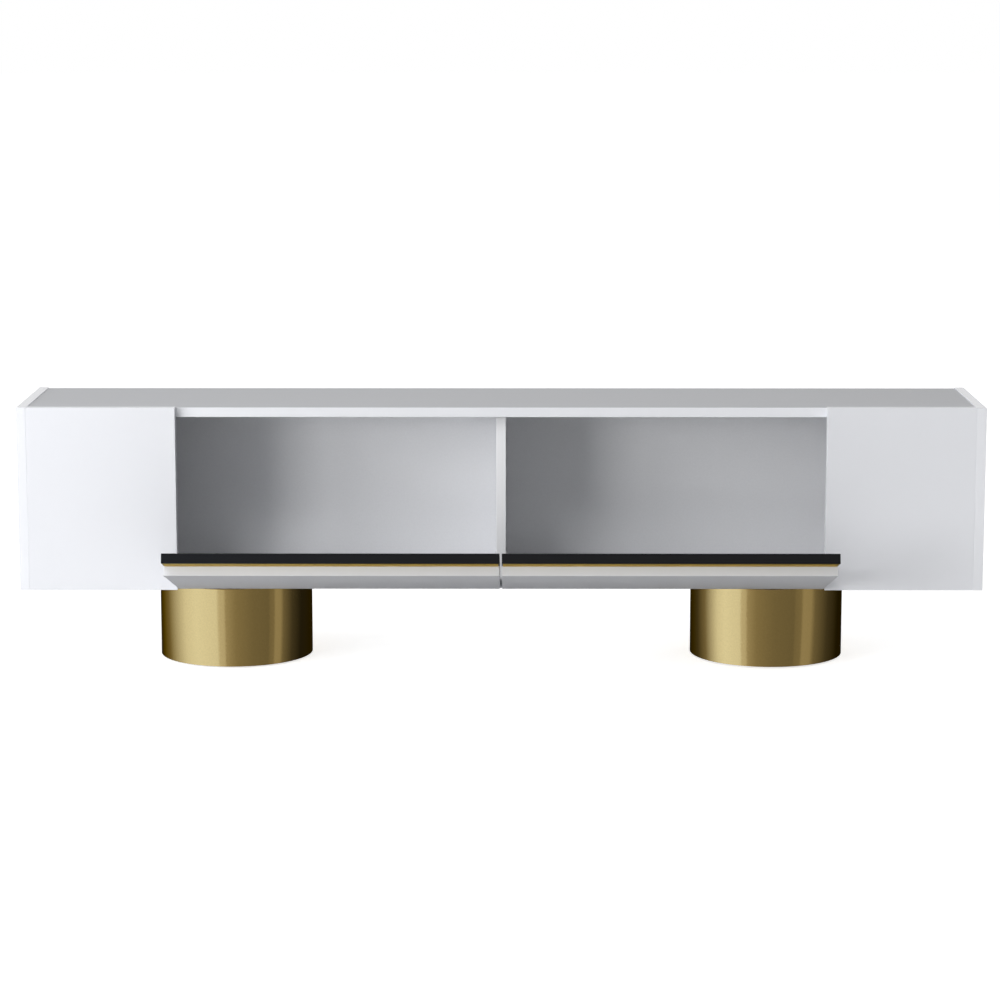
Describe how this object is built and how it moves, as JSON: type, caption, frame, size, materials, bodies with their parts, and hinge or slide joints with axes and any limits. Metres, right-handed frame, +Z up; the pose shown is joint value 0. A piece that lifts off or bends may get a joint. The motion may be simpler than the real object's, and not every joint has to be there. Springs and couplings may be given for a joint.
{
  "type": "tv stand with drop flaps",
  "caption": "Low white television stand with fixed outer fronts and drop-down flaps that have dark inner boards and brass grip strips, carried on brass-coloured drums.",
  "frame": {"origin": "on the floor, below the middle of the whole outline with the flaps open", "axes": "+X to the viewer's right along the width, +Y from the front to the back, +Z up"},
  "size_m": [1.8, 0.5864, 0.494],
  "materials": {
    "white_lacquer": "white lacquer on fibreboard, semi-gloss",
    "matt_top": "matt pale grey-white lacquer on fibreboard",
    "black_lacquer": "black lacquer on fibreboard",
    "back_board": "white faced thin fibreboard",
    "raw_board": "bare fibreboard",
    "beech": "fluted beech, left plain",
    "brass": "satin polished brass-coloured sheet",
    "steel": "zinc plated",
    "white_plastic": "moulded white plastic",
    "glide_nylon": "black nylon"
  },
  "bodies": {
    "cabinet": {"back_joint_strip": "white_plastic", "bottom_panel": "white_lacquer", "cam_bolts": "steel", "cam_locks": "steel", "carcass_hinge_screws": "steel", "catch_pole_plates": "steel", "catch_screws": "steel", "centre_divider": "white_lacquer", "centre_hinge_bracket": "steel", "drum_glides": "glide_nylon", "drum_screws": "steel", "left_back_panel": "back_board", "left_catch_housing": "white_plastic", "left_drum_base_disc": "raw_board", "left_drum_shell": "brass", "left_drum_top_disc": "raw_board", "left_front_panel": "white_lacquer", "left_hinge_plate": "steel", "left_side_panel": "white_lacquer", "right_back_panel": "back_board", "right_catch_housing": "white_plastic", "right_drum_base_disc": "raw_board", "right_drum_shell": "brass", "right_drum_top_disc": "raw_board", "right_front_panel": "white_lacquer", "right_hinge_plate": "steel", "right_side_panel": "white_lacquer", "top_panel": "matt_top", "wood_dowels": "beech"},
    "left_flap": {"left_flap_gold_strip": "brass", "left_flap_inner_leaf": "steel", "left_flap_inner_panel": "black_lacquer", "left_flap_outer_leaf": "steel", "left_flap_panel": "white_lacquer", "left_flap_screws": "steel", "left_flap_strike_plate": "steel"},
    "right_flap": {"right_flap_gold_strip": "brass", "right_flap_inner_leaf": "steel", "right_flap_inner_panel": "black_lacquer", "right_flap_outer_leaf": "steel", "right_flap_panel": "white_lacquer", "right_flap_screws": "steel", "right_flap_strike_plate": "steel"}
  },
  "joints": [
    {"name": "left_flap_hinge", "type": "hinge", "parent": "cabinet", "child": "left_flap", "pos_m": [-0.3025, 0.00217, 0.16], "axis": [1, 0, 0], "range_deg": [-74, 0]},
    {"name": "right_flap_hinge", "type": "hinge", "parent": "cabinet", "child": "right_flap", "pos_m": [0.3025, 0.00217, 0.16], "axis": [1, 0, 0], "range_deg": [-74, 0]}
  ]
}
